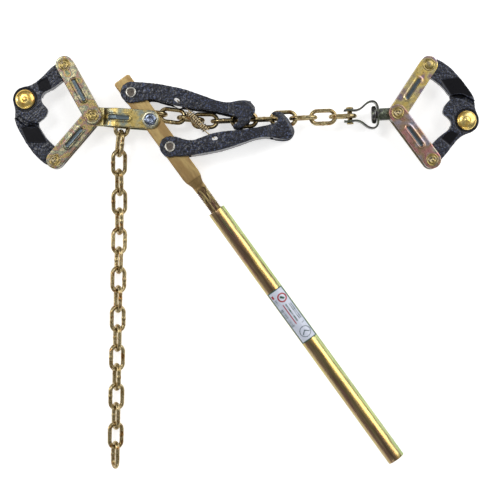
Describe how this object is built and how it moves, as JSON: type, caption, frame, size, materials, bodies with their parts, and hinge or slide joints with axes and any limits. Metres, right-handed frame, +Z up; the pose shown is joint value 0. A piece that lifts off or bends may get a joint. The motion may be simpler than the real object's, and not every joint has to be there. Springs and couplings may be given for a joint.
{
  "type": "chain wire strainer",
  "caption": "Lever chain strainer for fence wire: a tube handled lever pumps two hooked fingers along a short link chain, with a cam jaw wire grab at each end and a swivel",
  "frame": {"origin": "centre of the footprint, at the surface the tool lies on", "axes": "+X along the working chain towards the swivel end, +Y away from the handle, +Z up out of the surface; all jaw and lever pivots turn about Z"},
  "size_m": [0.6588, 0.5878, 0.058],
  "materials": {
    "tension_plate_front": "yellow zinc plated steel, faint rainbow tint",
    "tension_plate_back": "yellow zinc plated steel, faint rainbow tint",
    "main_pivot_bolt": "bright bluish steel",
    "main_pivot_washers": "bright bluish steel",
    "main_pivot_nut": "bright bluish steel",
    "left_grab_pivot_rivet": "yellow zinc plated steel, faint rainbow tint",
    "chain_body_links": "pale yellow zinc plated chain",
    "chain_slack_links": "pale yellow zinc plated chain",
    "chain_hooked_links": "pale yellow zinc plated chain",
    "lever_plate_front": "yellow zinc plated, brushed",
    "lever_plate_back": "yellow zinc plated, brushed",
    "handle_tube": "yellow zinc plated tube, rainbow streaks",
    "handle_label": "plain printed sticker with a green edge",
    "upper_finger_pin": "grey steel pin",
    "lower_finger_pin": "grey steel pin",
    "upper_finger": "blue-black painted casting, pebbled",
    "lower_finger": "blue-black painted casting, pebbled",
    "spring_coil": "plated spring wire",
    "spring_upper_drawbar": "plated spring wire",
    "spring_lower_drawbar": "plated spring wire",
    "left_short_link_front": "yellow zinc plated steel, faint rainbow tint",
    "left_short_link_back": "yellow zinc plated steel, faint rainbow tint",
    "left_short_link_rivet": "yellow zinc plated steel, faint rainbow tint",
    "left_long_link_front": "yellow zinc plated steel, faint rainbow tint",
    "left_long_link_back": "yellow zinc plated steel, faint rainbow tint",
    "left_long_link_rivet": "yellow zinc plated steel, faint rainbow tint",
    "left_cam_jaw": "blue-black painted casting, pebbled",
    "left_jaw_bolt": "bright yellow zinc plated",
    "left_jaw_nut": "bright yellow zinc plated",
    "left_anvil_jaw": "blue-black painted casting, pebbled",
    "chain_lead_links": "pale yellow zinc plated chain",
    "chain_end_link": "pale yellow zinc plated chain",
    "swivel_strap": "yellow zinc plated steel, faint rainbow tint",
    "chain_clevis_pin": "yellow zinc plated steel, faint rainbow tint",
    "swivel_stud": "yellow zinc plated steel, faint rainbow tint",
    "swivel_eye": "yellow zinc plated steel, faint rainbow tint",
    "right_grab_pivot_rivet": "yellow zinc plated steel, faint rainbow tint",
    "right_short_link_front": "yellow zinc plated steel, faint rainbow tint",
    "right_short_link_back": "yellow zinc plated steel, faint rainbow tint",
    "right_short_link_rivet": "yellow zinc plated steel, faint rainbow tint",
    "right_long_link_front": "yellow zinc plated steel, faint rainbow tint",
    "right_long_link_back": "yellow zinc plated steel, faint rainbow tint",
    "right_long_link_rivet": "yellow zinc plated steel, faint rainbow tint",
    "right_cam_jaw": "blue-black painted casting, pebbled",
    "right_jaw_bolt": "bright yellow zinc plated",
    "right_jaw_nut": "bright yellow zinc plated",
    "right_anvil_jaw": "blue-black painted casting, pebbled",
    "chain_tail_a": "pale yellow zinc plated chain",
    "chain_tail_b": "pale yellow zinc plated chain",
    "chain_tail_c": "pale yellow zinc plated chain",
    "chain_tail_d": "pale yellow zinc plated chain",
    "chain_tail_e": "pale yellow zinc plated chain",
    "chain_tail_f": "pale yellow zinc plated chain"
  },
  "bodies": {
    "strainer_frame": {"tension_plate_front": "tension_plate_front", "tension_plate_back": "tension_plate_back", "main_pivot_bolt": "main_pivot_bolt", "main_pivot_washers": "main_pivot_washers", "main_pivot_nut": "main_pivot_nut", "left_grab_pivot_rivet": "left_grab_pivot_rivet", "chain_body_links": "chain_body_links", "chain_slack_links": "chain_slack_links", "chain_hooked_links": "chain_hooked_links"},
    "lever": {"lever_plate_front": "lever_plate_front", "lever_plate_back": "lever_plate_back", "handle_tube": "handle_tube", "handle_label": "handle_label", "upper_finger_pin": "upper_finger_pin", "lower_finger_pin": "lower_finger_pin"},
    "upper_finger": {"upper_finger": "upper_finger"},
    "lower_finger": {"lower_finger": "lower_finger"},
    "spring": {"spring_coil": "spring_coil", "spring_upper_drawbar": "spring_upper_drawbar"},
    "spring_slider": {"spring_lower_drawbar": "spring_lower_drawbar"},
    "left_short_side": {"left_short_link_front": "left_short_link_front", "left_short_link_back": "left_short_link_back", "left_short_link_rivet": "left_short_link_rivet"},
    "left_long_side": {"left_long_link_front": "left_long_link_front", "left_long_link_back": "left_long_link_back", "left_long_link_rivet": "left_long_link_rivet"},
    "left_cam": {"left_cam_jaw": "left_cam_jaw", "left_jaw_bolt": "left_jaw_bolt", "left_jaw_nut": "left_jaw_nut"},
    "left_anvil": {"left_anvil_jaw": "left_anvil_jaw"},
    "chain_lead": {"chain_lead_links": "chain_lead_links"},
    "chain_end": {"chain_end_link": "chain_end_link"},
    "clevis": {"swivel_strap": "swivel_strap", "chain_clevis_pin": "chain_clevis_pin"},
    "swivel": {"swivel_stud": "swivel_stud", "swivel_eye": "swivel_eye", "right_grab_pivot_rivet": "right_grab_pivot_rivet"},
    "right_short_side": {"right_short_link_front": "right_short_link_front", "right_short_link_back": "right_short_link_back", "right_short_link_rivet": "right_short_link_rivet"},
    "right_long_side": {"right_long_link_front": "right_long_link_front", "right_long_link_back": "right_long_link_back", "right_long_link_rivet": "right_long_link_rivet"},
    "right_cam": {"right_cam_jaw": "right_cam_jaw", "right_jaw_bolt": "right_jaw_bolt", "right_jaw_nut": "right_jaw_nut"},
    "right_anvil": {"right_anvil_jaw": "right_anvil_jaw"},
    "tail_a": {"chain_tail_a": "chain_tail_a"},
    "tail_b": {"chain_tail_b": "chain_tail_b"},
    "tail_c": {"chain_tail_c": "chain_tail_c"},
    "tail_d": {"chain_tail_d": "chain_tail_d"},
    "tail_e": {"chain_tail_e": "chain_tail_e"},
    "tail_f": {"chain_tail_f": "chain_tail_f"}
  },
  "joints": [
    {"name": "lever_swing", "type": "hinge", "parent": "strainer_frame", "child": "lever", "pos_m": [-0.1343, 0.20332, 0.029], "axis": [0, 0, -1], "range_deg": [0, 35]},
    {"name": "upper_finger_turn", "type": "hinge", "parent": "lever", "child": "upper_finger", "pos_m": [-0.16175, 0.24146, 0.029], "axis": [0, 0, 1], "range_deg": [0, 42.5]},
    {"name": "lower_finger_turn", "type": "hinge", "parent": "lever", "child": "lower_finger", "pos_m": [-0.10684, 0.16517, 0.029], "axis": [0, 0, 1], "range_deg": [0, 28.5]},
    {"name": "spring_turn", "type": "hinge", "parent": "upper_finger", "child": "spring", "pos_m": [-0.09712, 0.23066, 0.0465], "axis": [0, 0, -1], "range_deg": [0, 52.34]},
    {"name": "spring_slide", "type": "slide", "parent": "spring", "child": "spring_slider", "axis": [0.7025, -0.7117, 0], "range_m": [0, 0.01206], "deforming": ["spring_coil", "spring_upper_drawbar", "spring_lower_drawbar"]},
    {"name": "left_grab_swing", "type": "hinge", "parent": "strainer_frame", "child": "left_short_side", "pos_m": [-0.2164, 0.20946, 0.029], "axis": [0, 0, 1], "range_deg": [-15, 15]},
    {"name": "left_grab_open", "type": "hinge", "parent": "left_short_side", "child": "left_long_side", "pos_m": [-0.2164, 0.20946, 0.029], "axis": [0, 0, 1], "range_deg": [0, 14]},
    {"name": "left_cam_turn", "type": "hinge", "parent": "left_short_side", "child": "left_cam", "pos_m": [-0.25613, 0.28119, 0.029], "axis": [0, 0, 1], "range_deg": [0, 14.6]},
    {"name": "left_anvil_turn", "type": "hinge", "parent": "left_long_side", "child": "left_anvil", "pos_m": [-0.26979, 0.14722, 0.029], "axis": [0, 0, -1], "range_deg": [0, 12.3]},
    {"name": "chain_lead_bend", "type": "hinge", "parent": "strainer_frame", "child": "chain_lead", "pos_m": [0.06167, 0.20658, 0.029], "axis": [0, 0, 1], "range_deg": [-10, 10]},
    {"name": "chain_end_bend", "type": "hinge", "parent": "chain_lead", "child": "chain_end", "pos_m": [0.11763, 0.20873, 0.029], "axis": [0, 0, 1], "range_deg": [-10, 10]},
    {"name": "clevis_tilt", "type": "hinge", "parent": "chain_end", "child": "clevis", "pos_m": [0.14754, 0.21016, 0.029], "axis": [-0.0444, 0.999, 0], "range_deg": [-20, 20]},
    {"name": "swivel_spin", "type": "hinge", "parent": "clevis", "child": "swivel", "pos_m": [0.1925, 0.21216, 0.029], "axis": [0.999, 0.0444, 0], "continuous": true},
    {"name": "right_grab_swing", "type": "hinge", "parent": "swivel", "child": "right_short_side", "pos_m": [0.21421, 0.21312, 0.029], "axis": [0, 0, 1], "range_deg": [-15, 15]},
    {"name": "right_grab_open", "type": "hinge", "parent": "right_short_side", "child": "right_long_side", "pos_m": [0.21421, 0.21312, 0.029], "axis": [0, 0, 1], "range_deg": [0, 14]},
    {"name": "right_cam_turn", "type": "hinge", "parent": "right_short_side", "child": "right_cam", "pos_m": [0.26308, 0.14727, 0.029], "axis": [0, 0, 1], "range_deg": [0, 14.6]},
    {"name": "right_anvil_turn", "type": "hinge", "parent": "right_long_side", "child": "right_anvil", "pos_m": [0.25889, 0.28187, 0.029], "axis": [0, 0, -1], "range_deg": [0, 12.3]},
    {"name": "tail_bend_a", "type": "hinge", "parent": "strainer_frame", "child": "tail_a", "pos_m": [-0.17653, 0.19071, 0.029], "axis": [0, 0, -1], "range_deg": [-8, 8]},
    {"name": "tail_bend_b", "type": "hinge", "parent": "tail_a", "child": "tail_b", "pos_m": [-0.18071, 0.13562, 0.02211], "axis": [0, 0, 1], "range_deg": [-8, 8]},
    {"name": "tail_bend_c", "type": "hinge", "parent": "tail_b", "child": "tail_c", "pos_m": [-0.1814, 0.04131, 0.01184], "axis": [0, 0, -1], "range_deg": [-8, 8]},
    {"name": "tail_bend_d", "type": "hinge", "parent": "tail_c", "child": "tail_d", "pos_m": [-0.18266, -0.03078, 0.01184], "axis": [0, 0, 1], "range_deg": [-8, 8]},
    {"name": "tail_bend_e", "type": "hinge", "parent": "tail_d", "child": "tail_e", "pos_m": [-0.18432, -0.12576, 0.01184], "axis": [0, 0, -1], "range_deg": [-8, 8]},
    {"name": "tail_bend_f", "type": "hinge", "parent": "tail_e", "child": "tail_f", "pos_m": [-0.18557, -0.19786, 0.01184], "axis": [0, 0, 1], "range_deg": [-8, 8]}
  ],
  "couplings": [
    {"joint": "upper_finger_turn", "follows": "lever_swing", "ratio": 1.2},
    {"joint": "lower_finger_turn", "follows": "lever_swing", "ratio": 0.8},
    {"joint": "spring_turn", "follows": "lever_swing", "ratio": 1.4812},
    {"joint": "spring_slide", "follows": "lever_swing", "m_per_rad": 0.018923},
    {"joint": "left_cam_turn", "follows": "left_grab_open", "ratio": 1.0383},
    {"joint": "left_anvil_turn", "follows": "left_grab_open", "ratio": 0.8731},
    {"joint": "right_cam_turn", "follows": "right_grab_open", "ratio": 1.0383},
    {"joint": "right_anvil_turn", "follows": "right_grab_open", "ratio": 0.8731}
  ]
}
